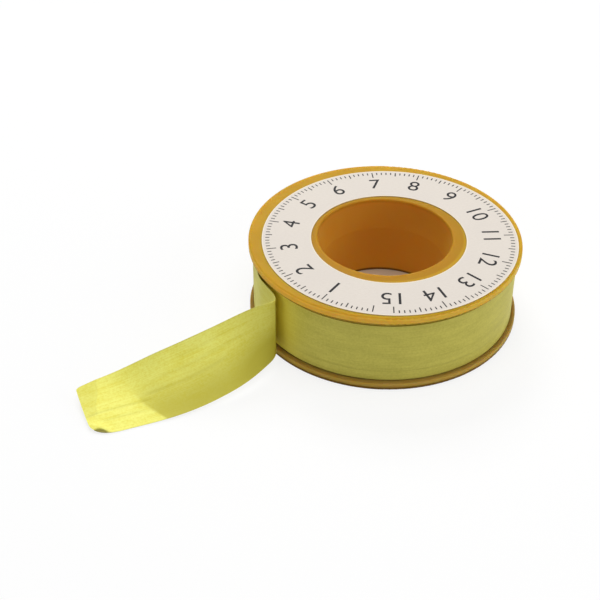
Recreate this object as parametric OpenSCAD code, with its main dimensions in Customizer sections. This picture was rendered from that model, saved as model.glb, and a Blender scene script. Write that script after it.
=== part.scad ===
// Thread seal tape roll: a hollow two-part spool, a ring label and a strip of soft tape
// whose free end lifts off the roll, folds outwards and twists until it lies flat.
// Millimetres. The origin is the middle of the core bore, +Z runs along the spool's axis.

/* [Tape] */
// Width of the tape
tape_w = 12.7; // [6:0.1:25.4]
// Thickness of the tape
tape_t = 0.1; // [0.06:0.01:0.2]
// Diameter over the outer turn, which says how full the roll is
wound_d = 52.4; // [38:0.2:53.4]
// Clearance under the loose outer turn
turn_gap = 0.2; // [0.1:0.05:0.4]
// How far round the roll the outer turn reaches, degrees
turn_span = 345; // [180:5:348]

/* [Free end] */
// Where the tape leaves the roll, degrees from +X
peel_az = 195; // [0:1:359]
// How far out of the wound tape the free end runs, at least, before it follows the roll again
lift_clear = 0.8; // [0.5:0.1:4]
// Turn along the roll before the fold, degrees
follow_turn = 18.5; // [0:0.5:30]
// Length of tape in that turn
follow_l = 4; // [2:0.5:8]
// Length of tape from that turn to the fold, middle to middle
fold_gap = 7.8; // [6:0.1:20]
// Turn outwards at the fold, degrees
fold_turn = 66; // [30:1:80]
// Length of tape in the fold
fold_l = 7; // [3:0.5:12]
// Further turn of the lower edge after the fold, degrees
swing_turn = 24; // [0:1:60]
// Length over which the tape swings after the fold
swing_l = 15; // [10:1:60]
// Sway of the lower edge, one wave over the free end, degrees
sway = 9; // [0:1:20]
// Length of the free end past the fold
tail_l = 40.5; // [20:0.1:90]
// How far before the fold the lower edge starts to come down
drop_lead = 4; // [0:0.5:6]
// Length over which the lower edge comes down to the table
drop_l = 37; // [10:1:60]
// Length in which the lean of the tape falls to about a third
lean_l = 16.5; // [6:0.5:40]
// Lean of the tape at its tip, degrees from flat
tip_lean = 1.5; // [0:0.5:40]
// Lean that the tape loses at a slanting bend near the tip, degrees
bend_lean = 12; // [0:1:40]
// Where the slanting bend crosses the lower edge, from the fold
bend_at = 25.5; // [10:0.1:60]
// Length of tape in the slanting bend
bend_l = 8; // [1:0.5:12]
// Slant of the bend: how far it runs along the tape for its way across
bend_slant = 0.74; // [0:0.02:1.2]
// Height of the tip over the table
tip_lift = 0.2; // [0.1:0.1:3]
// How much shorter the upper edge is at the tip
tip_slant = 1.1; // [0:0.1:3]
// Rounded lower corner of the tip, along and across the tape
tip_corner = [5, 3.5]; // [0.5:0.5:6]

/* [Spool] */
// Diameter of the flanges
flange_d = 54; // [53.5:0.5:80]
// Thickness of each flange
flange_t = 1.75; // [1.2:0.05:3]
// Rounding of the flange rims
rim_round = 0.5; // [0.2:0.05:0.55]
// Gap between a tape edge and a flange
side_gap = 0.45; // [0.3:0.05:1]
// Diameter of the core bore over its straight length
bore_d = 25; // [18:0.1:28]
// Wall of the core tube over that length
core_wall = 2.3; // [2:0.1:4]
// How far the wall of the bore opens towards its mouth
mouth_flare = 0.8; // [0:0.1:1]
// Height of that flare under the upper face
flare_h = 6.5; // [2:0.5:8]
// Rounding of the lip at the top of the bore
lip_round = 0.4; // [0.3:0.1:0.8]
// Chamfer at the bottom of the bore
bore_chamfer = 0.1; // [0.1:0.1:0.6]
// Gap between the core tube and the innermost turn
core_gap = 0.1; // [0.05:0.05:0.4]

/* [Flange joint] */
// Height of the lower flange's collar over the flange
hub_h = 3; // [1:0.5:6]
// Wall of the collar
hub_wall = 0.6; // [0.4:0.05:0.8]
// Radial clearance of the push fit
fit_gap = 0.05; // [0.02:0.01:0.1]
// Lead-in chamfer on the end of the core tube
lead_in = 0.25; // [0.1:0.05:0.3]

/* [Label] */
// Thickness of the label
label_t = 0.12; // [0.05:0.01:0.3]
// Flange left bare outside the label
label_margin = 1.8; // [1.6:0.1:6]
// Flange left bare between the lip and the label
label_inset = 1.6; // [1.5:0.1:5]
// How far the label sits off centre, to the right and to the front
label_shift = [0.95, -0.85]; // [-0.95:0.05:0.95]
// How far the hole sits off the label's middle
hole_shift = [-0.2, 0.1]; // [-0.3:0.05:0.3]

/* [Hidden] */
$fn = 96;

bore_r = bore_d / 2;
core_r = bore_r + core_wall;
mouth_r = bore_r + mouth_flare;
flange_r = flange_d / 2;
tape_z = -tape_w / 2;
face_z = tape_w / 2 + side_gap;
top_z = face_z + flange_t;
base_z = -top_z;
flare_z = top_z - flare_h;

hub_bore_r = core_r - hub_wall;
spigot_r = hub_bore_r - fit_gap;
shoulder_z = hub_h - face_z;

turn_r = (wound_d - tape_t) / 2;
pack_r = wound_d / 2 - 2 * tape_t - turn_gap;

turn_steps = 72;
tail_step = 0.5;
tail_cells = 12;
slant_l = 20;
trim_l = 2 * tip_corner.x + tip_slant;
lift_l = sqrt(pow(max(flange_r, wound_d / 2 + lift_clear), 2) - pow(turn_r, 2));
fold_at = lift_l + fold_gap;
tail_steps = round((fold_at + tail_l) / tail_step);

function ease(x) = let (t = min(max(x, 0), 1)) t * t * (3 - 2 * t);

function heading_vector(angle) = [cos(angle), sin(angle)];

// A station of the strip is the place of its lower edge, its heading, the lean from flat of each
// cell across it, and how far each line between the cells is drawn back along it.
// The wound stretch: a spiral that gains one thickness of tape in a full turn
function turn_station(back) =
    let (at = (turn_r - tape_t * back / 360) * heading_vector(peel_az - back))
    [[at.x, at.y, tape_z], peel_az - back + 90, [90], [0, 0]];

turn_stations = [for (i = [turn_steps:-1:0]) turn_station(turn_span * i / turn_steps)];

// The free end: a straight run off the roll, a turn along it, then the fold, the swing and the twist
function past_fold(s) = s - fold_at;

function tail_heading(s) =
    peel_az + 90
    + follow_turn * ease((s - lift_l) / follow_l + 0.5)
    - fold_turn * ease(past_fold(s) / fold_l + 0.5)
    - swing_turn * ease(past_fold(s) / swing_l)
    + sway * sin(360 * min(max(past_fold(s) / tail_l, 0), 1));

function tail_lean(s, v) =
    let (along = past_fold(s) - v * bend_slant * ease(past_fold(s) / slant_l))
    tip_lean
    + bend_lean * (1 - ease((along - bend_at) / bend_l + 0.5))
    + (90 - tip_lean - bend_lean) * exp(-max(along, 0) / lean_l);

function tail_height(s) =
    tape_z + (base_z + tip_lift - tape_z) * ease((past_fold(s) + drop_lead) / drop_l);

// How far the tip is cut back at a height across the tape, by its slant and its round corner
function tip_cut(v) =
    tip_slant * v / tape_w
    + tip_corner.x * (1 - sqrt(1 - pow(max(1 - v / tip_corner.y, 0), 2)));

function drawn_back(s, v) =
    tip_cut(v) * min(max((past_fold(s) - tail_l + trim_l) / trim_l, 0), 1);

tail_plan = [
    for (
        i = 0, at = turn_r * heading_vector(peel_az);
        i <= tail_steps;
        at = at + tail_step * heading_vector(tail_heading((i + 0.5) * tail_step)), i = i + 1
    ) at
];

tail_stations = [
    for (i = [0:tail_steps])
        let (s = i * tail_step, cell = tape_w / tail_cells)
        [
            [tail_plan[i].x, tail_plan[i].y, tail_height(s)],
            tail_heading(s),
            [for (k = [0:tail_cells - 1]) tail_lean(s, (k + 0.5) * cell)],
            [for (k = [0:tail_cells]) drawn_back(s, k * cell)]
        ]
];

// Outline of the strip at a station: up one face in a row of cells, and down the other
function strip_ring(station) =
    let (
        ahead = heading_vector(station[1]),
        right = [ahead.y, -ahead.x, 0],
        leans = station[2],
        cells = len(leans),
        cell = tape_w / cells,
        line = [
            for (
                k = 0, at = station[0];
                k <= cells;
                lean = leans[min(k, cells - 1)],
                at = at + cell * (cos(lean) * right + [0, 0, sin(lean)]),
                k = k + 1
            ) at - station[3][k] * [ahead.x, ahead.y, 0]
        ],
        half = [
            for (k = [0:cells])
                let (lean = (leans[max(k - 1, 0)] + leans[min(k, cells - 1)]) / 2)
                (sin(lean) * right - [0, 0, cos(lean)]) * tape_t / 2
        ]
    )
    concat(
        [for (k = [0:cells]) line[k] + half[k]],
        [for (k = [cells:-1:0]) line[k] - half[k]]
    );

// Least plan distance between the faces of the outer turn and of the free end where it has left the roll
clear_from = ceil(lift_l / tail_step);
turn_self_gap = min([
    for (i = [0:turn_steps / 2], j = [clear_from:tail_steps])
        norm([for (k = [0, 1]) turn_stations[i][0][k] - tail_plan[j][k]])
]) - tape_t;
echo(least_gap_of_the_strip_to_itself = turn_self_gap);

// A strip swept through its stations, as one closed skin of triangles. Both faces are split
// along the same diagonals, so that the strip keeps its thickness where it twists.
module strip(stations) {
    rings = [for (station = stations) strip_ring(station)];
    n = len(rings[0]);
    cells = n / 2 - 1;
    last = n * (len(rings) - 1);
    sides = [
        for (base = [0:n:last - n], k = [0:n - 1])
            let (a = base + k, b = base + (k + 1) % n)
            each k < n / 2 ? [[a, b, b + n], [a, b + n, a + n]] : [[a, b, a + n], [b, b + n, a + n]]
    ];
    ends = [
        for (k = [0:cells - 1])
            let (j = n - 1 - k)
            each [
                [k, j - 1, k + 1],
                [k, j, j - 1],
                [last + k, last + k + 1, last + j - 1],
                [last + k, last + j - 1, last + j]
            ]
    ];
    polyhedron([for (ring = rings) each ring], concat(sides, ends));
}

// Section of a flange from its inner radius to its rounded rim, standing on the radius axis
module flange_section(inner_r) {
    translate([inner_r, 0])
        square([flange_r - rim_round - inner_r, flange_t]);
    translate([inner_r, rim_round])
        square([flange_r - inner_r, flange_t - 2 * rim_round]);
    for (y = [rim_round, flange_t - rim_round])
        translate([flange_r - rim_round, y])
            circle(rim_round);
}

// What the flare takes off the wall of the bore, up to its mouth
module flare_cut() {
    polygon([
        [0, flare_z],
        [bore_r, flare_z],
        [mouth_r, top_z - lip_round],
        [mouth_r, top_z],
        [0, top_z]
    ]);
}

// What the rounded lip takes off the upper inner corner of the bore
module lip_cut() {
    difference() {
        translate([mouth_r - lip_round, top_z - lip_round])
            square(2 * lip_round);
        translate([mouth_r + lip_round, top_z - lip_round])
            circle(lip_round);
        translate([mouth_r + lip_round, top_z - 2 * lip_round])
            square(4 * lip_round);
    }
}

// What a chamfer takes off a corner at the base
module base_chamfer_cut(corner_r, size) {
    translate([corner_r, base_z])
        rotate(45)
            square(size * sqrt(2), center = true);
}

// Upper flange and core tube in one moulding; its lower end is stepped for the lower flange
module spool_body() {
    color("#c5962f")
        rotate_extrude()
            difference() {
                union() {
                    translate([0, face_z])
                        flange_section(bore_r);
                    translate([bore_r, shoulder_z])
                        square([core_wall, top_z - shoulder_z - flange_t / 2]);
                    translate([bore_r, base_z])
                        square([spigot_r - bore_r, face_z - base_z]);
                }
                flare_cut();
                lip_cut();
                base_chamfer_cut(bore_r, bore_chamfer);
                base_chamfer_cut(spigot_r, lead_in);
            }
}

// Lower flange with the collar that is pushed on the core tube up to its shoulder
module lower_flange() {
    color("#bd8d2a")
        rotate_extrude() {
            translate([0, base_z])
                flange_section(hub_bore_r);
            translate([hub_bore_r, base_z + flange_t / 2])
                square([hub_wall, shoulder_z - base_z - flange_t / 2]);
        }
}

// Paper ring on the upper flange
module label() {
    color("#e4dace")
        translate([label_shift.x, label_shift.y, top_z])
            linear_extrude(label_t)
                difference() {
                    circle(flange_r - label_margin);
                    translate(hole_shift)
                        circle(mouth_r + lip_round + label_inset);
                }
}

// The turns under the outer one, wound tight on the core
module tape_pack() {
    color("#b5ab3c")
        translate([0, 0, tape_z])
            linear_extrude(tape_w)
                difference() {
                    circle(pack_r);
                    circle(core_r + core_gap);
                }
}

// The loose outer turn, open where the free end leaves it
module tape_outer_turn() {
    color("#c3bd4a")
        strip(turn_stations);
}

// The free end of the tape
module tape_tail() {
    color("#d7d25a")
        strip(tail_stations);
}

spool_body();
lower_flange();
label();
tape_pack();
tape_outer_turn();
tape_tail();
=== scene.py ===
"""Thread seal tape roll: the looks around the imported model, in metres and in its frame."""
import math

import bpy
import numpy as np
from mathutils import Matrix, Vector

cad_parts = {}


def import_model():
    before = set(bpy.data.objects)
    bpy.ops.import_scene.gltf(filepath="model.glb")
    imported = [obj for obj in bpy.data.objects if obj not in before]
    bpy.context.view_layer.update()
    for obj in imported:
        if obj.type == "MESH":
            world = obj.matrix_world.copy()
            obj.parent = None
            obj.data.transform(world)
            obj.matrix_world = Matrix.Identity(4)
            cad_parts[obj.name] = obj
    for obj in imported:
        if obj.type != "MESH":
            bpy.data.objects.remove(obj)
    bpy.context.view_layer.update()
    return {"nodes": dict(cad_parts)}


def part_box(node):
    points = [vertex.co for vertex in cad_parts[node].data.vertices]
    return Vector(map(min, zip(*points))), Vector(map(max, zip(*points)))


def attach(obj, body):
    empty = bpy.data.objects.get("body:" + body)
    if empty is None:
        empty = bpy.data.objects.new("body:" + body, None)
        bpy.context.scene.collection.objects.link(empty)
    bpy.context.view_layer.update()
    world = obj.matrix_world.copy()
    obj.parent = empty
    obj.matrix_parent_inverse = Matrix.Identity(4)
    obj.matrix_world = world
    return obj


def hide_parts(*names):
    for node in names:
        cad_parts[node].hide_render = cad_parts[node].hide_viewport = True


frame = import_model()
MM = 0.001
DEG = math.pi / 180
UP = np.array([0.0, 0.0, 1.0])

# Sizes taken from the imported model
FLOOR_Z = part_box("lower_flange")[0].z
FLANGE_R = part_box("spool_body")[1].x
LABEL_LOW, LABEL_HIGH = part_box("label")
LABEL_R = (LABEL_HIGH.x - LABEL_LOW.x) / 2
LABEL_AT = (LABEL_LOW + LABEL_HIGH) / 2
PACK_LOW, PACK_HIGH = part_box("tape_pack")
PACK_R = PACK_HIGH.x
TAPE_LOW = PACK_LOW.z
TAPE_W = PACK_HIGH.z - PACK_LOW.z

BORE_MOUTH_R = 13.3 * MM
LIP_R = 15.2 * MM
# Heights of thin lines of painted shade: on the upper rim, and where the tape stands on the lower flange
RIM_LINE_Z = 7.15 * MM
SEAT_Z = FLOOR_Z + 1.75 * MM

# The wound tape
TAPE_T = 0.1 * MM
PACK_BORE_R = 14.9 * MM
LAYER_T = 0.2 * MM
LAYER_UNEVEN = 0.09 * MM
LAYER_GROOVE = 0.08 * MM
LAYER_ROUND = 0.2
RING_STEPS = 180

# The strip: its outer turn, then the free end, which lifts off, folds, swings and leans over
TURN_R = 26.15 * MM
TURN_PITCH = 0.14 * MM
TURN_SAG = 0.3 * MM
TURN_SPAN = 372 * DEG
TURN_ROWS = 200
PEEL_AZ = 195 * DEG
LIFT_L = math.sqrt(FLANGE_R**2 - TURN_R**2)
FOLLOW_TURN = 18.5 * DEG
FOLLOW_L = 4 * MM
FOLD_AT = LIFT_L + 7.8 * MM
FOLD_TURN = 66 * DEG
FOLD_L = 7 * MM
SWING_TURN = 24 * DEG
SWING_L = 15 * MM
SWAY = 9 * DEG
TAIL_L = 40.5 * MM
DROP_LEAD = 4 * MM
DROP_L = 37 * MM
LEAN_L = 16.5 * MM
TIP_LEAN = 1.5 * DEG
TIP_LIFT = 0.2 * MM
BEND_LEAN = 12 * DEG
BEND_AT = 25.5 * MM
BEND_L = 8 * MM
BEND_SLANT = 0.74
SLANT_L = 20 * MM
TIP_SLANT = 1.1 * MM
CORNER_ALONG = 5 * MM
CORNER_ACROSS = 3.5 * MM
CORNER_HIGH = 0.7 * MM
LAID_AT = 26.7 * MM
LAID_CURVE = 0.3
LAID_EDGE = 0.5 * MM
PEEL_L = 10 * MM
FOLD_GLOW_AT = 16 * MM
FOLD_GLOW_L = 5 * MM
END_FOLD_AT = 36.2 * MM
END_FOLD_SLANT = 0.27
END_FOLD_SLOPE = 0.12
NOTCH_AT = 38.7 * MM
NOTCH_L = 1.3 * MM
NOTCH_H = 0.9 * MM
NOTCH_EDGE = 0.2 * MM
NOTCH_LIFT = 0.3 * MM
STRIP_L = FOLD_AT + TAIL_L
WOUND_CREASE = (-152 * MM, -100 * MM)
WOUND_CREASE_AT = 2.0 * MM
WOUND_CREASE_W = 0.22 * MM
WOUND_CREASE_H = 0.08 * MM
WAVE_H = 0.012 * MM
# Creases along the free end: height, start and end past the fold, width and depth in mm, and painted shade
CREASES = (
    (5.0, 27, 41, 0.28, 0.06, 0.26),
    (2.9, 28, 39, 0.35, 0.06, 0.15),
    (6.0, 10, 30, 0.35, 0.05, 0.15),
    (8.3, 5, 27, 0.45, 0.05, 0.12),
    (10.4, 8, 22, 0.35, 0.04, 0.10),
)
CREASE_DEPTH = 4
# Column that holds each crease's painted shade
CREASE_SHADE = 5
PATH_STEP = 0.05 * MM
TAIL_ROW = 0.3 * MM
TIP_L = 10 * MM
TIP_ROWS = 56
COLUMNS = 72

# The floor as the camera sees it: near the roll this share is plain white, and the rest keeps the shadow
FLOOR_WHITE = 0.8
FLOOR_NEAR = 0.12
FLOOR_FAR = 0.35
OPEN_FLOOR = (1.0, 1.0, 1.0)
# Inside the bore the floor is painted darker and browner: painted shade with a painted orange reflection
BORE_FLOOR = (0.57, 0.48, 0.36)
# The floor as the lamps see it
PLAIN_FLOOR = (0.8, 0.8, 0.8, 1)

# How the materials take the light
PLASTIC_DEPTH = 2.5 * MM
PLASTIC_SPREAD = (1.0, 0.6, 0.2)
PLASTIC_DULL = (0.53, 0.295, 0.017)
PLASTIC_BRIGHT = (0.59, 0.335, 0.022)
PLASTIC_LOWER = (0.53, 0.365, 0.085)
PLASTIC_LIP = (0.47, 0.235, 0.014)
PLASTIC_BORE = (0.66, 0.295, 0.03)
# Painted highlight on the upper rim, broken up like rubbed wear
PLASTIC_WEAR_AND_HIGHLIGHT = (0.83, 0.53, 0.085)
# Painted shade for the thin dark lines on the rims and at the foot
PLASTIC_PAINTED_SHADE = (0.17, 0.085, 0.010)
TAPE_DEPTH = 0.15 * MM
TAPE_THROUGH = 0.12
TAPE_DULL = (0.90, 0.83, 0.11)
TAPE_BRIGHT = (0.998, 0.98, 0.235)
TAPE_SHADE = (0.58, 0.52, 0.055)
# Painted glow beside the fold
TAPE_GLOW = (0.99, 0.78, 0.05)
# Darker painted shade under the curled lip, on the upper edge and in the roll's crease
TAPE_DARK_SHADE = (0.17, 0.14, 0.02)
WOUND_DULL = (0.57, 0.51, 0.083)
WOUND_BRIGHT = (0.71, 0.645, 0.122)
PAPER_DULL = (0.71, 0.645, 0.57)
PAPER_BRIGHT = (0.77, 0.71, 0.64)
PAPER_SOIL = (0.69, 0.63, 0.58)
PAPER_CUT = (0.88, 0.80, 0.66)
INK_DEEP = (0.004, 0.004, 0.005)
INK_THIN = (0.016, 0.014, 0.016)

# How strongly the strip's painted shade and painted glow show
LOW_SHADE = 0.85
UPRIGHT_SHADE = 0.42
OVER_END_SHADE = 0.22
END_LINE_SHADE = 0.25
UPPER_EDGE_SHADE = 0.28
WOUND_CREASE_SHADE = 0.10
NOTCH_SHADE = 0.9
FOLD_GLOW = 0.9

# The printed scale on the label
HOLE_SHIFT = (-0.2 * MM, 0.1 * MM)
HOLE_R = 15.3 * MM
INK_T = 0.012 * MM
SCALE_R = LABEL_R - 0.7 * MM
SCALE_CM = 15
TICK_W = 0.22 * MM
TICK_L = (0.8 * MM, 1.3 * MM, 1.9 * MM)
FIGURE_H = 5.0 * MM
FIGURE_R = SCALE_R - 4.6 * MM
SCALE_START = -96 * DEG

# The camera and the studio
CAMERA_AT = Vector((0, -0.20993, 0.14911))
CAMERA_AIM = Vector((-0.01594, -0.01118, 0))
CAMERA_LENS = 76.49
SENSOR_W = 36
FLOOR_SIDE = 6.0
WORLD_LIGHT = 0.15
LAMPS_AIM = (-0.012, -0.006, 0)


def ease(x):
    t = np.clip(x, 0.0, 1.0)
    return t * t * (3.0 - 2.0 * t)


def bell(x):
    return np.exp(-x * x)


class Shader:
    """A material's node tree, with its Principled shader at hand."""

    def __init__(self, name):
        self.material = bpy.data.materials.new(name)
        self.material.use_nodes = True
        self.tree = self.material.node_tree
        self.skin = self.tree.nodes["Principled BSDF"]

    def node(self, kind, **settings):
        made = self.tree.nodes.new(kind)
        for key, value in settings.items():
            setattr(made, key, value)
        return made

    def link(self, source, target):
        self.tree.links.new(source, target)

    def coords(self, kind, scale=(1, 1, 1), shift=(0, 0, 0)):
        place = self.node("ShaderNodeTexCoord")
        mapping = self.node("ShaderNodeMapping")
        mapping.inputs["Scale"].default_value = scale
        mapping.inputs["Location"].default_value = shift
        self.link(place.outputs[kind], mapping.inputs["Vector"])
        return mapping.outputs["Vector"]

    def from_axis(self, x=0, y=0):
        """Distance from an upright axis."""
        made = self.node("ShaderNodeVectorMath", operation="LENGTH")
        self.link(self.coords("Object", (1, 1, 0), (-x, -y, 0)), made.inputs[0])
        return made.outputs["Value"]

    def height(self):
        made = self.node("ShaderNodeSeparateXYZ")
        self.link(self.coords("Object"), made.inputs["Vector"])
        return made.outputs["Z"]

    def attribute(self, name):
        return self.node("ShaderNodeAttribute", attribute_name=name).outputs["Fac"]

    def noise(self, vector, scale, detail=3.0, roughness=0.5):
        made = self.node("ShaderNodeTexNoise")
        made.inputs["Scale"].default_value = scale
        made.inputs["Detail"].default_value = detail
        made.inputs["Roughness"].default_value = roughness
        self.link(vector, made.inputs["Vector"])
        return made.outputs["Fac"]

    def ramp(self, factor, *stops):
        made = self.node("ShaderNodeValToRGB")
        elements = made.color_ramp.elements
        while len(elements) < len(stops):
            elements.new(0.5)
        for element, (position, colour) in zip(elements, stops):
            element.position = position
            element.color = (*colour, 1)
        self.link(factor, made.inputs["Fac"])
        return made.outputs["Color"]

    def span(self, factor, low, high, to_low=0.0, to_high=1.0):
        made = self.node("ShaderNodeMapRange", interpolation_type="SMOOTHSTEP")
        limits = {"From Min": low, "From Max": high, "To Min": to_low, "To Max": to_high}
        for key, value in limits.items():
            made.inputs[key].default_value = value
        self.link(factor, made.inputs["Value"])
        return made.outputs["Result"]

    def math(self, operation, a, b):
        made = self.node("ShaderNodeMath", operation=operation)
        for socket, value in zip(made.inputs, (a, b)):
            if isinstance(value, (int, float)):
                socket.default_value = value
            else:
                self.link(value, socket)
        return made.outputs["Value"]

    def mix(self, factor, a, b):
        made = self.node("ShaderNodeMix", data_type="RGBA")
        self.link(factor, made.inputs["Factor"])
        for socket, value in ((made.inputs[6], a), (made.inputs[7], b)):
            if isinstance(value, tuple):
                socket.default_value = (*value, 1)
            else:
                self.link(value, socket)
        return made.outputs[2]

    def bump(self, height, strength, distance):
        made = self.node("ShaderNodeBump")
        made.inputs["Strength"].default_value = strength
        made.inputs["Distance"].default_value = distance
        self.link(height, made.inputs["Height"])
        self.link(made.outputs["Normal"], self.skin.inputs["Normal"])

    def let_through(self, depth, weight, spread):
        """Light goes this deep into the surface, by the given share of red, green and blue."""
        self.set(Subsurface_Weight=weight, Subsurface_Scale=depth, Subsurface_Radius=spread)

    def set(self, **values):
        for key, value in values.items():
            socket = self.skin.inputs[key.replace("_", " ")]
            if isinstance(value, (int, float, tuple)):
                socket.default_value = value
            else:
                self.link(value, socket)


def plastic_material():
    """Moulded orange plastic: cloudy colour, a fine skin, a painted highlight along the upper rim broken up
    like rubbed wear, and thin lines of painted shade on the upper rim, at the foot and where the tape
    stands.
    """
    sh = Shader("spool_plastic_look")
    place = sh.coords("Object")
    cloud = sh.noise(place, 140, 4)
    body = sh.ramp(cloud, (0.3, PLASTIC_DULL), (0.7, PLASTIC_BRIGHT))
    radius, height = sh.from_axis(), sh.height()
    lower = sh.span(height, -MM, MM, 0.85, 0.0)
    inside_lip = sh.span(radius, LIP_R, LIP_R + 0.6 * MM, 1.0, 0.0)
    in_bore = sh.span(radius, BORE_MOUTH_R - 0.08 * MM, BORE_MOUTH_R + 0.02 * MM, 1.0, 0.0)
    body = sh.mix(lower, body, PLASTIC_LOWER)
    body = sh.mix(inside_lip, body, PLASTIC_LIP)
    body = sh.mix(in_bore, body, PLASTIC_BORE)
    # Painted highlight: the upper rim is painted paler where light catches it, broken up by scuffs like
    # rubbed wear
    rim = sh.span(radius, FLANGE_R - 0.2 * MM, FLANGE_R - 0.02 * MM)
    scuffs = sh.span(sh.noise(place, 500, 4, 0.6), 0.25, 0.75, 0.8, 1.0)
    upper = sh.span(height, -MM, MM)
    wear_and_highlight = sh.math("MULTIPLY", sh.math("MULTIPLY", rim, scuffs), upper)
    body = sh.mix(wear_and_highlight, body, PLASTIC_WEAR_AND_HIGHLIGHT)
    # Painted shade: a thin dark line low on the upper rim
    from_line = sh.math("ABSOLUTE", sh.math("SUBTRACT", height, RIM_LINE_Z), 0)
    line = sh.math("MULTIPLY", sh.span(from_line, 0.05 * MM, 0.18 * MM, 0.9, 0.0), rim)
    # Painted shadow: the bottom edge is painted dark where it meets the floor, on the rim and in the bore
    foot_shadow = sh.span(height, FLOOR_Z + 0.35 * MM, FLOOR_Z + 0.75 * MM, 0.95, 0.0)
    rim_foot_shadow = sh.span(height, FLOOR_Z + 0.55 * MM, FLOOR_Z + 1.0 * MM, 0.95, 0.0)
    foot_shadow = sh.math("MAXIMUM", foot_shadow, sh.math("MULTIPLY", rim_foot_shadow, rim))
    # Painted shadow: a dark line on the lower flange's top where the tape stands on it
    from_seat = sh.math("ABSOLUTE", sh.math("SUBTRACT", height, SEAT_Z), 0)
    outside = sh.span(radius, PACK_R - MM, PACK_R)
    seat_shadow = sh.math("MULTIPLY", sh.span(from_seat, 0.05 * MM, 0.36 * MM, 0.6, 0.0), outside)
    line = sh.math("MAXIMUM", line, seat_shadow)
    sh.set(Base_Color=sh.mix(sh.math("MAXIMUM", line, foot_shadow), body, PLASTIC_PAINTED_SHADE))
    sh.set(Roughness=sh.span(sh.noise(place, 420, 4), 0.3, 0.7, 0.44, 0.56))
    sh.set(Specular_IOR_Level=0.045)
    sh.let_through(PLASTIC_DEPTH, 1.0, PLASTIC_SPREAD)
    sh.bump(sh.noise(place, 1800, 3), 0.3, 0.05 * MM)
    return sh.material


def tape_material():
    """Thin yellow tape: lets light through, with fine streaks along its length and a soft grain; its colour
    also carries painted shade, a painted glow beside the fold and darker painted shade under the curled
    lip.
    """
    sh = Shader("tape_look")
    streaks = sh.noise(sh.coords("UV", (18, 70, 1)), 1.0, 6, 0.62)
    patches = sh.noise(sh.coords("UV", (40, 7, 1)), 1.0, 3)
    grain = sh.noise(sh.coords("Object"), 2300, 4, 0.65)
    tone = sh.math("ADD", sh.math("MULTIPLY", streaks, 0.4), sh.math("MULTIPLY", patches, 0.25))
    tone = sh.math("ADD", tone, sh.math("MULTIPLY", grain, 0.35))
    free = sh.ramp(tone, (0.42, TAPE_DULL), (0.56, TAPE_BRIGHT))
    wound = sh.ramp(tone, (0.40, WOUND_DULL), (0.60, WOUND_BRIGHT))
    plain = sh.mix(sh.attribute("wound"), free, wound)
    # Painted shade: the tape is painted duller upright, low on its way down, in creases and past the tip's
    # fold
    plain = sh.mix(sh.attribute("shade"), plain, TAPE_SHADE)
    # Painted glow: the roll beside the fold is painted warmer and paler, as light from the fold
    plain = sh.mix(sh.attribute("painted_glow"), plain, TAPE_GLOW)
    # Darker painted shade: under the curled lip, along the upper edge and in the roll's crease
    sh.set(Base_Color=sh.mix(sh.attribute("soil_and_shade"), plain, TAPE_DARK_SHADE))
    sh.set(Roughness=sh.span(streaks, 0.3, 0.7, 0.50, 0.62))
    sh.set(Specular_IOR_Level=0.25)
    backed = sh.math("MAXIMUM", sh.attribute("laid"), sh.attribute("wound"))
    sh.let_through(TAPE_DEPTH, sh.span(backed, 0, 1, TAPE_THROUGH, 0.0), (1.0, 1.0, 1.0))
    height = sh.math("ADD", sh.math("MULTIPLY", streaks, 0.5), sh.math("MULTIPLY", grain, 0.5))
    sh.bump(height, 0.5, 0.05 * MM)
    return sh.material


def winding_material():
    """The wound turns under the outer one: the same tape, seen as hundreds of fine rings."""
    sh = Shader("winding_look")
    place = sh.coords("Object")
    cloud = sh.noise(place, 260, 4)
    sh.set(Base_Color=sh.ramp(cloud, (0.3, WOUND_DULL), (0.7, WOUND_BRIGHT)))
    sh.set(Roughness=sh.span(sh.noise(place, 900, 3), 0.3, 0.7, 0.5, 0.65))
    sh.set(Specular_IOR_Level=0.25)
    sh.bump(sh.noise(place, 3000, 2), 0.2, 0.05 * MM)
    return sh.material


def paper_material():
    """Label paper: warm white, with faint fibres and a slightly soiled tone."""
    sh = Shader("label_paper_look")
    place = sh.coords("Object")
    fibre = sh.noise(sh.coords("Object", (1, 2.6, 1)), 1500, 5, 0.65)
    soil_and_shade = sh.noise(place, 110, 3)
    tone = sh.ramp(fibre, (0.3, PAPER_DULL), (0.7, PAPER_BRIGHT))
    tone = sh.mix(sh.span(soil_and_shade, 0.35, 0.75, 0.0, 0.25), tone, PAPER_SOIL)
    outer = sh.span(sh.from_axis(LABEL_AT.x, LABEL_AT.y), LABEL_R - 0.3 * MM, LABEL_R - 0.1 * MM)
    hole_x, hole_y = LABEL_AT.x + HOLE_SHIFT[0], LABEL_AT.y + HOLE_SHIFT[1]
    inner = sh.span(sh.from_axis(hole_x, hole_y), HOLE_R + 0.1 * MM, HOLE_R + 0.3 * MM, 1.0, 0.0)
    cut = sh.math("MAXIMUM", outer, inner)
    sh.set(Base_Color=sh.mix(cut, tone, PAPER_CUT))
    sh.set(Roughness=sh.span(fibre, 0.3, 0.7, 0.62, 0.78))
    sh.bump(fibre, 0.15, 0.02 * MM)
    return sh.material


def ink_material():
    """Black printing ink, a little thin in places."""
    sh = Shader("label_ink_look")
    speck = sh.noise(sh.coords("Object"), 3200, 4, 0.6)
    sh.set(Base_Color=sh.ramp(speck, (0.35, INK_DEEP), (0.75, INK_THIN)))
    sh.set(Roughness=sh.span(speck, 0.3, 0.7, 0.5, 0.7))
    sh.set(Specular_IOR_Level=0.2)
    return sh.material


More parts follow.
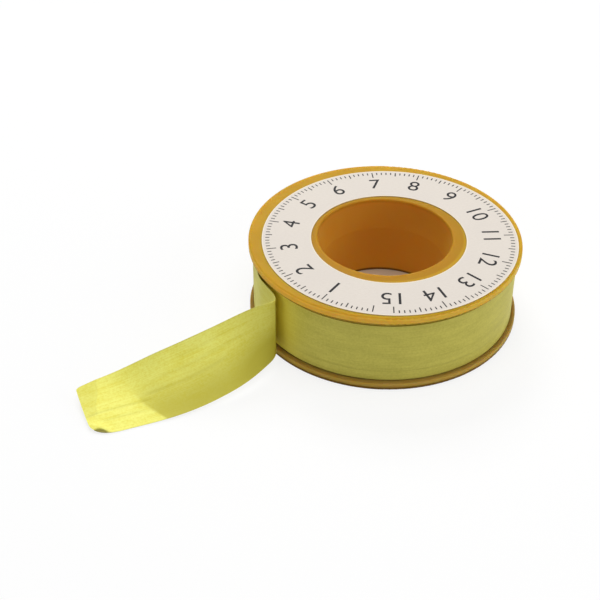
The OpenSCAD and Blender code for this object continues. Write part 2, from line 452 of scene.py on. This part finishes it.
def mesh_object(name, points, faces, material):
    mesh = bpy.data.meshes.new(name)
    mesh.from_pydata([tuple(p) for p in points], [], faces)
    mesh.polygons.foreach_set("use_smooth", [True] * len(mesh.polygons))
    mesh.materials.append(material)
    mesh.update()
    made = bpy.data.objects.new(name, mesh)
    bpy.context.scene.collection.objects.link(made)
    return made


def tail_heading(run):
    """Heading of the free end's lower edge, by the distance from where it leaves the roll."""
    past = run - FOLD_AT
    follow = FOLLOW_TURN * ease((run - LIFT_L) / FOLLOW_L + 0.5)
    fold = FOLD_TURN * ease(past / FOLD_L + 0.5)
    swing = SWING_TURN * ease(past / SWING_L)
    sway = SWAY * np.sin(2 * math.pi * np.clip(past / TAIL_L, 0, 1))
    return PEEL_AZ + math.pi / 2 + follow - fold - swing + sway


def strip_path():
    """Distance, x, y, height and heading along the strip's lower edge; 0 is where it leaves the roll."""
    back = np.linspace(TURN_SPAN, 0, TURN_ROWS * 4)[:-1]
    radius = TURN_R - TURN_PITCH * back / (2 * math.pi)
    azimuth = PEEL_AZ - back
    turn = np.stack([
        -back * TURN_R,
        radius * np.cos(azimuth),
        radius * np.sin(azimuth),
        np.full_like(back, TAPE_LOW - TURN_SAG),
        azimuth + math.pi / 2,
    ])
    run = np.arange(0, STRIP_L + PATH_STEP, PATH_STEP)
    heading = tail_heading(run)
    middle = (heading[1:] + heading[:-1]) / 2
    x = TURN_R * math.cos(PEEL_AZ) + np.r_[0, np.cumsum(np.cos(middle)) * PATH_STEP]
    y = TURN_R * math.sin(PEEL_AZ) + np.r_[0, np.cumsum(np.sin(middle)) * PATH_STEP]
    height = TAPE_LOW + (FLOOR_Z + TIP_LIFT - TAPE_LOW) * ease((run - FOLD_AT + DROP_LEAD) / DROP_L)
    height -= TURN_SAG * (1 - ease(run / FOLD_AT))
    return np.concatenate([turn, np.stack([run, x, y, height, heading])], axis=1)


def lean_of(past, across):
    """Lean of the strip from flat; past the fold it decays, and a slanting bend lays the tip down."""
    along = past - across * BEND_SLANT * ease(past / SLANT_L)
    bend = BEND_LEAN * (1 - ease((along - BEND_AT) / BEND_L + 0.5))
    fold = (math.pi / 2 - TIP_LEAN - BEND_LEAN) * np.exp(-np.maximum(along, 0) / LEAN_L)
    return TIP_LEAN + bend + fold


def laid_share(past, across):
    """How far the tape lies on the table: 1 past a slanting line, which is softer and curves back above."""
    line = LAID_AT + BEND_SLANT * across - LAID_CURVE * np.maximum(across - TAPE_W / 3, 0)
    return ease((past - line) / (LAID_EDGE * (1 + 3 * across / TAPE_W)) + 0.5)


def beside_fold(run):
    """1 on the roll where the fold of the free end stands beside it; the roll gets a painted glow there."""
    return bell((run - run.min() - FOLD_GLOW_AT) / FOLD_GLOW_L)


def wound_share(run):
    """1 on the roll and 0 past the place where the tape leaves it; less beside the fold, where the paler
    free colour is part of the painted glow.
    """
    return ease(0.5 - run / PEEL_L) * (1 - FOLD_GLOW * beside_fold(run))


def tip_end(across):
    """Where the strip ends: a slanting cut with a wide round corner below and a small one above."""
    low = np.clip(1 - across / CORNER_ACROSS, 0, 1)
    high = np.clip(1 - (TAPE_W - across) / CORNER_HIGH, 0, 1)
    slant = TIP_SLANT * across / TAPE_W
    wide = CORNER_ALONG * (1 - np.sqrt(1 - low**2))
    small = CORNER_HIGH * (1 - np.sqrt(1 - high**2))
    return STRIP_L - slant - wide - small


def end_fold(past, across):
    """How far a point lies past the fold across the tip, which the last millimetres bend down at."""
    wander = 0.12 * MM * np.sin(across / (0.9 * MM))
    return past - END_FOLD_AT - END_FOLD_SLANT * (TAPE_W - across) - wander


def corner_edge(past):
    """Height of the tape's edge along the round corner of its tip."""
    short = np.clip((TAIL_L - past) / CORNER_ALONG, 0, 1)
    return CORNER_ACROSS * (1 - np.sqrt(1 - (1 - short) ** 2))


def notch_share(past, across):
    """1 on the small lip of the tip's round corner that curls down to the table."""
    arch = NOTCH_H * np.clip(1 - ((past - NOTCH_AT) / NOTCH_L) ** 2, 0, 1)
    return ease((corner_edge(past) + arch - across) / NOTCH_EDGE)


def notch_lift(past, across):
    """The tip stands up a little over the curled lip."""
    over = across - corner_edge(past) - NOTCH_H
    near = bell((past - NOTCH_AT) / NOTCH_L) * bell(over / (1.5 * NOTCH_H))
    return NOTCH_LIFT * near * (1 - notch_share(past, across))


def crease_lines(past, across, column):
    """The creases along the free end, each by its depth or by its painted shade."""
    total = np.zeros_like(past)
    wander = 0.25 * MM * np.sin(past / (5.0 * MM))
    for crease in CREASES:
        at, start, end, width = (value * MM for value in crease[:4])
        window = ease((past - start) / (4 * MM)) * ease((end - past) / (2 * MM))
        total += crease[column] * window * bell((across - at - wander) / width)
    return total


def wound_crease(run, across):
    """A faint line round the front of the roll, a little above the tape's lower edge."""
    window = ease((run - WOUND_CREASE[0]) / (8 * MM)) * ease((WOUND_CREASE[1] - run) / (12 * MM))
    return window * bell((across - WOUND_CREASE_AT) / WOUND_CREASE_W)


def strip_relief(run, across):
    """Height of the creases and waves over the plain strip, out of the face that the roll hides."""
    past = run - FOLD_AT
    relief = -MM * crease_lines(past, across, CREASE_DEPTH)
    relief -= END_FOLD_SLOPE * np.maximum(end_fold(past, across), 0) * ease(across / (5 * MM) - 0.6)
    wound = ease(-run / (10 * MM))
    waves = np.sin(run / (6.1 * MM) + across / (2.2 * MM)) * np.sin(across / (1.9 * MM))
    return relief + wound * (WAVE_H * waves + WOUND_CREASE_H * wound_crease(run, across))


def strip_soil(run, across):
    """Painted shade where the tape is dark: under the curled lip, a little on the upper edge and in the
    roll's crease.
    """
    past = run - FOLD_AT
    upper_edge = ease((across - TAPE_W + 0.25 * MM) / (0.2 * MM)) * ease(past / (4 * MM))
    soil_and_shade = np.maximum(UPPER_EDGE_SHADE * upper_edge, WOUND_CREASE_SHADE * wound_crease(run, across))
    return np.maximum(soil_and_shade, NOTCH_SHADE * notch_share(past, across))


def strip_shade(run, across):
    """Painted shade on the tape: where it stands upright, low on its way down, in creases and past the
    tip's fold.
    """
    past = run - FOLD_AT
    low = ease((0.42 * TAPE_W - across) / (0.7 * TAPE_W) + 0.5)
    on_the_way = ease((past + 6 * MM) / (5 * MM)) * (1 - laid_share(past, across))
    over = end_fold(past, across)
    over_end = OVER_END_SHADE * ease(over / (0.5 * MM)) + END_LINE_SHADE * bell(over / (0.16 * MM))
    upright = ease((past + 18 * MM) / (9 * MM)) * ease((14 * MM - past) / (12 * MM))
    shade = LOW_SHADE * low * on_the_way + UPRIGHT_SHADE * upright
    shade += over_end * ease((across - 4.5 * MM) / MM)
    shade += crease_lines(past, across, CREASE_SHADE)
    return np.clip(shade, 0, 1)


def strip_grid():
    """Points on the middle of the strip, with their distance along it and across it."""
    path = strip_path()
    turn = np.linspace(path[0, 0], 0, TURN_ROWS)
    tail = np.arange(TAIL_ROW, STRIP_L - TIP_L, TAIL_ROW)
    rows = np.concatenate([turn, tail])
    column = np.linspace(0, TAPE_W, COLUMNS + 1)
    share = np.linspace(0, 1, TIP_ROWS + 1)[1:, None]
    tip = rows[-1] + share * (tip_end(column)[None] - rows[-1])
    run = np.concatenate([np.repeat(rows[:, None], COLUMNS + 1, axis=1), tip])
    across = np.repeat(column[None], len(run), axis=0)
    x, y, z, heading = (np.interp(run, path[0], row) for row in path[1:])
    right = np.stack([np.sin(heading), -np.cos(heading), np.zeros_like(heading)], axis=-1)
    past = run - FOLD_AT
    half = column[1] / 2
    lean = lean_of(past, np.maximum(across - half, 0))
    out = np.cumsum(np.cos(lean), axis=1) * column[1]
    up = np.cumsum(np.sin(lean), axis=1) * column[1]
    out, up = out - out[:, :1], up - up[:, :1]
    points = np.stack([x, y, z], axis=-1) + out[..., None] * right + up[..., None] * UP
    return points, run, across


def grid_normals(points):
    along = np.gradient(points, axis=0)
    over = np.gradient(points, axis=1)
    normal = np.cross(along, over)
    return normal / np.linalg.norm(normal, axis=-1, keepdims=True)


def closed_strip(points, thickness):
    """Points and faces of a grid with its thickness, closed all round."""
    rows, columns = points.shape[:2]
    normal = grid_normals(points)
    skins = np.concatenate([points + normal * thickness / 2, points - normal * thickness / 2])
    step = rows * columns
    index = np.arange(step).reshape(rows, columns)
    other = index + step
    quads = [np.stack([index[:-1, :-1], index[1:, :-1], index[1:, 1:], index[:-1, 1:]], axis=-1)]
    quads.append(np.stack([other[:-1, :-1], other[:-1, 1:], other[1:, 1:], other[1:, :-1]], axis=-1))
    border = np.concatenate([index[:-1, 0], index[-1, :-1], index[:0:-1, -1], index[0, :0:-1]])
    following = np.roll(border, -1)
    rim = np.stack([following, border, border + step, following + step], axis=-1)
    faces = np.concatenate([q.reshape(-1, 4) for q in quads] + [rim])
    return skins.reshape(-1, 3), faces.tolist()


def tape_strip(material):
    """One length of tape: the outer turn and the free end."""
    points, run, across = strip_grid()
    points = points - grid_normals(points) * strip_relief(run, across)[..., None]
    points[..., 2] += notch_lift(run - FOLD_AT, across)
    skin, faces = closed_strip(points, TAPE_T)
    made = mesh_object("tape_strip", skin, faces, material)
    made.data.set_sharp_from_angle(angle=50 * DEG)
    layer = made.data.uv_layers.new(name="strip")
    u = np.tile(((run - run.min()) / (run.max() - run.min())).ravel(), 2)
    v = np.tile((across / TAPE_W).ravel(), 2)
    corner = np.zeros(len(made.data.loops), dtype=np.int32)
    made.data.loops.foreach_get("vertex_index", corner)
    layer.data.foreach_set("uv", np.stack([u[corner], v[corner]], axis=-1).ravel())
    # The shade, glow and darker shade shares are painted shade and painted glow, carried on the strip's
    # points
    shares = {
        "laid": laid_share(run - FOLD_AT, across),
        "wound": wound_share(run),
        "shade": strip_shade(run, across),
        "painted_glow": FOLD_GLOW * beside_fold(run),
        "soil_and_shade": strip_soil(run, across),
    }
    for name, share in shares.items():
        values = made.data.attributes.new(name, "FLOAT", "POINT").data
        values.foreach_set("value", np.tile(share.ravel(), 2))
    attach(made, "tail")
    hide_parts("tape_outer_turn", "tape_tail")
    return made


def wound_profile():
    """Section of the wound turns: each layer's edges stand a little higher or lower than the next."""
    count = round((PACK_R - PACK_BORE_R) / LAYER_T)
    step = (PACK_R - PACK_BORE_R) / count
    top, bottom = [], []
    for k in range(count):
        uneven = LAYER_UNEVEN * (math.sin(k * 2.4) + math.sin(k * 0.37)) / 2
        inner, outer = PACK_BORE_R + k * step, PACK_BORE_R + (k + 1) * step
        for rows, sign in ((top, 1), (bottom, -1)):
            edge = sign * (TAPE_W / 2 - LAYER_UNEVEN + uneven)
            groove = edge - sign * LAYER_GROOVE
            bend = LAYER_ROUND * step
            rows += [(inner, groove), (inner + bend, edge), (outer - bend, edge)]
    top.append((PACK_R, top[-1][1]))
    bottom.append((PACK_R, bottom[-1][1]))
    return bottom + top[::-1]


def wound_tape(material):
    """The turns under the outer one."""
    profile = np.array(wound_profile())
    turn = np.linspace(0, 2 * math.pi, RING_STEPS, endpoint=False)[:, None]
    radius, height = profile[None, :, 0], profile[None, :, 1]
    points = np.stack([radius * np.cos(turn), radius * np.sin(turn), height + 0 * turn], axis=-1)
    n = len(profile)
    index = np.arange(RING_STEPS * n).reshape(RING_STEPS, n)
    after, beside = np.roll(index, -1, axis=0), np.roll(index, -1, axis=1)
    faces = np.stack([index, after, np.roll(after, -1, axis=1), beside], axis=-1).reshape(-1, 4)
    made = mesh_object("wound_tape", points.reshape(-1, 3), faces.tolist(), material)
    made.data.set_sharp_from_angle(angle=40 * DEG)
    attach(made, "spool")
    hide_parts("tape_pack")
    return made


def tick_length(mm):
    """Longest at each centimetre, longer at each half."""
    if mm % 10 == 0:
        return TICK_L[2]
    return TICK_L[1] if mm % 5 == 0 else TICK_L[0]


def tick_points(angle, length):
    """Eight corners of one printed tick, from the scale's circle inwards."""
    ahead = np.array([math.cos(angle), math.sin(angle), 0])
    side = np.array([-math.sin(angle), math.cos(angle), 0])
    corners = []
    for z in (0, INK_T):
        for r, s in ((0, -1), (0, 1), (-length, 1), (-length, -1)):
            corners.append((SCALE_R + r) * ahead + s * TICK_W / 2 * side + z * UP)
    return corners


def figure_mesh(text):
    """Corners and faces of one printed figure, as a thin solid about its own middle."""
    curve = bpy.data.curves.new("figure", "FONT")
    curve.body = text
    curve.size = FIGURE_H
    curve.align_x = "CENTER"
    curve.align_y = "CENTER"
    curve.extrude = INK_T / 2
    made = bpy.data.objects.new("figure", curve)
    bpy.context.scene.collection.objects.link(made)
    solid = made.evaluated_get(bpy.context.evaluated_depsgraph_get()).to_mesh()
    points = np.array([v.co for v in solid.vertices]) + UP * INK_T / 2
    faces = [list(p.vertices) for p in solid.polygons]
    bpy.data.objects.remove(made)
    bpy.data.curves.remove(curve)
    return points, faces


def label_print(material):
    """A plain millimetre scale along the label's edge, with a figure at each centimetre."""
    points, faces = [], []
    box = ((0, 3, 2, 1), (4, 5, 6, 7), (0, 1, 5, 4), (1, 2, 6, 5), (2, 3, 7, 6), (3, 0, 4, 7))
    for mm in range(SCALE_CM * 10 + 1):
        angle = SCALE_START - mm * MM / SCALE_R
        base = len(points)
        points += tick_points(angle, tick_length(mm))
        faces += [[base + k for k in face] for face in box]
    for cm in range(1, SCALE_CM + 1):
        angle = SCALE_START - cm * 10 * MM / SCALE_R
        figure, sides = figure_mesh(str(cm))
        ahead = np.array([math.cos(angle), math.sin(angle), 0])
        side = np.array([math.sin(angle), -math.cos(angle), 0])
        base = len(points)
        x, y, z = figure[:, :1], figure[:, 1:2], figure[:, 2:]
        points += list(FIGURE_R * ahead + x * side + y * ahead + z * UP)
        faces += [[base + k for k in face] for face in sides]
    middle = np.array([LABEL_AT.x, LABEL_AT.y, LABEL_HIGH.z])
    made = mesh_object("label_print", np.array(points) + middle, faces, material)
    made.data.polygons.foreach_set("use_smooth", [False] * len(made.data.polygons))
    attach(made, "spool")
    return made


def dress_nodes(plastic, paper):
    """The CAD nodes whose shape is right keep it and get their looks."""
    for name, material in (("spool_body", plastic), ("lower_flange", plastic), ("label", paper)):
        node = frame["nodes"][name]
        node.data.materials.clear()
        node.data.materials.append(material)


def ray_mask(tree):
    """1 for what the camera sees, directly, in a reflection or through glass."""
    rays = tree.nodes.new("ShaderNodeLightPath")
    total = rays.outputs["Is Camera Ray"]
    for kind in ("Is Glossy Ray", "Is Transmission Ray"):
        either = tree.nodes.new("ShaderNodeMath")
        either.operation = "MAXIMUM"
        tree.links.new(total, either.inputs[0])
        tree.links.new(rays.outputs[kind], either.inputs[1])
        total = either.outputs["Value"]
    return total


def floor_material():
    """Pale floor, plain for the light; to the camera near white with the shadow, with painted shade and a
    painted orange reflection in the bore.
    """
    sh = Shader("floor_look")
    tree = sh.tree
    tree.nodes.clear()
    out = tree.nodes.new("ShaderNodeOutputMaterial")
    plain = tree.nodes.new("ShaderNodeBsdfDiffuse")
    plain.inputs["Color"].default_value = PLAIN_FLOOR
    paper = tree.nodes.new("ShaderNodeBsdfDiffuse")
    seen = tree.nodes.new("ShaderNodeEmission")
    seen.inputs["Color"].default_value = (1, 1, 1, 1)
    faint = tree.nodes.new("ShaderNodeMixShader")
    open_floor = sh.span(sh.from_axis(), BORE_MOUTH_R - 0.9 * MM, BORE_MOUTH_R)
    sh.link(sh.mix(open_floor, BORE_FLOOR, OPEN_FLOOR), paper.inputs["Color"])
    white_share = sh.span(sh.from_axis(), FLOOR_NEAR, FLOOR_FAR, FLOOR_WHITE, 1.0)
    sh.link(sh.math("MULTIPLY", open_floor, white_share), faint.inputs["Fac"])
    tree.links.new(paper.outputs["BSDF"], faint.inputs[1])
    tree.links.new(seen.outputs["Emission"], faint.inputs[2])
    either = tree.nodes.new("ShaderNodeMixShader")
    tree.links.new(ray_mask(tree), either.inputs["Fac"])
    tree.links.new(plain.outputs["BSDF"], either.inputs[1])
    tree.links.new(faint.outputs["Shader"], either.inputs[2])
    tree.links.new(either.outputs["Shader"], out.inputs["Surface"])
    return sh.material


def floor():
    half = FLOOR_SIDE / 2
    corners = [(half * x, half * y, FLOOR_Z) for x, y in ((-1, -1), (1, -1), (1, 1), (-1, 1))]
    made = mesh_object("floor", corners, [[0, 1, 2, 3]], floor_material())


def world():
    """White for the camera, dim for the light that it gives."""
    made = bpy.data.worlds.new("studio")
    made.use_nodes = True
    tree = made.node_tree
    tree.nodes.clear()
    out = tree.nodes.new("ShaderNodeOutputWorld")
    dim = tree.nodes.new("ShaderNodeBackground")
    dim.inputs["Color"].default_value = (1, 1, 1, 1)
    dim.inputs["Strength"].default_value = WORLD_LIGHT
    white = tree.nodes.new("ShaderNodeBackground")
    white.inputs["Color"].default_value = (1, 1, 1, 1)
    white.inputs["Strength"].default_value = 1
    either = tree.nodes.new("ShaderNodeMixShader")
    tree.links.new(ray_mask(tree), either.inputs["Fac"])
    tree.links.new(dim.outputs["Background"], either.inputs[1])
    tree.links.new(white.outputs["Background"], either.inputs[2])
    tree.links.new(either.outputs["Shader"], out.inputs["Surface"])
    bpy.context.scene.world = made


def softbox(name, at, side, power):
    lamp = bpy.data.lights.new(name, "AREA")
    lamp.shape = "SQUARE"
    lamp.size = side
    lamp.energy = power
    made = bpy.data.objects.new(name, lamp)
    made.location = at
    made.rotation_euler = (Vector(LAMPS_AIM) - Vector(at)).to_track_quat("-Z", "Y").to_euler()
    bpy.context.scene.collection.objects.link(made)


def lights():
    softbox("key_above", at=(0.05, -0.05, 0.62), side=0.45, power=1.80)
    softbox("key_behind", at=(-0.14, 0.445, 0.52), side=0.30, power=2.2)
    softbox("fill_right", at=(0.50, -0.10, 0.25), side=0.35, power=0.85)
    softbox("fill_front", at=(-0.40, -0.36, 0.28), side=0.35, power=0.38)


def camera():
    lens = bpy.data.cameras.new("camera")
    lens.lens = CAMERA_LENS
    lens.sensor_width = SENSOR_W
    lens.clip_start = 0.01
    made = bpy.data.objects.new("camera", lens)
    made.location = CAMERA_AT
    made.rotation_euler = (CAMERA_AIM - CAMERA_AT).to_track_quat("-Z", "Y").to_euler()
    bpy.context.scene.collection.objects.link(made)
    bpy.context.scene.camera = made


bpy.context.scene.view_settings.view_transform = "Standard"
camera()
dress_nodes(plastic_material(), paper_material())
wound_tape(winding_material())
tape_strip(tape_material())
label_print(ink_material())
floor()
world()
lights()
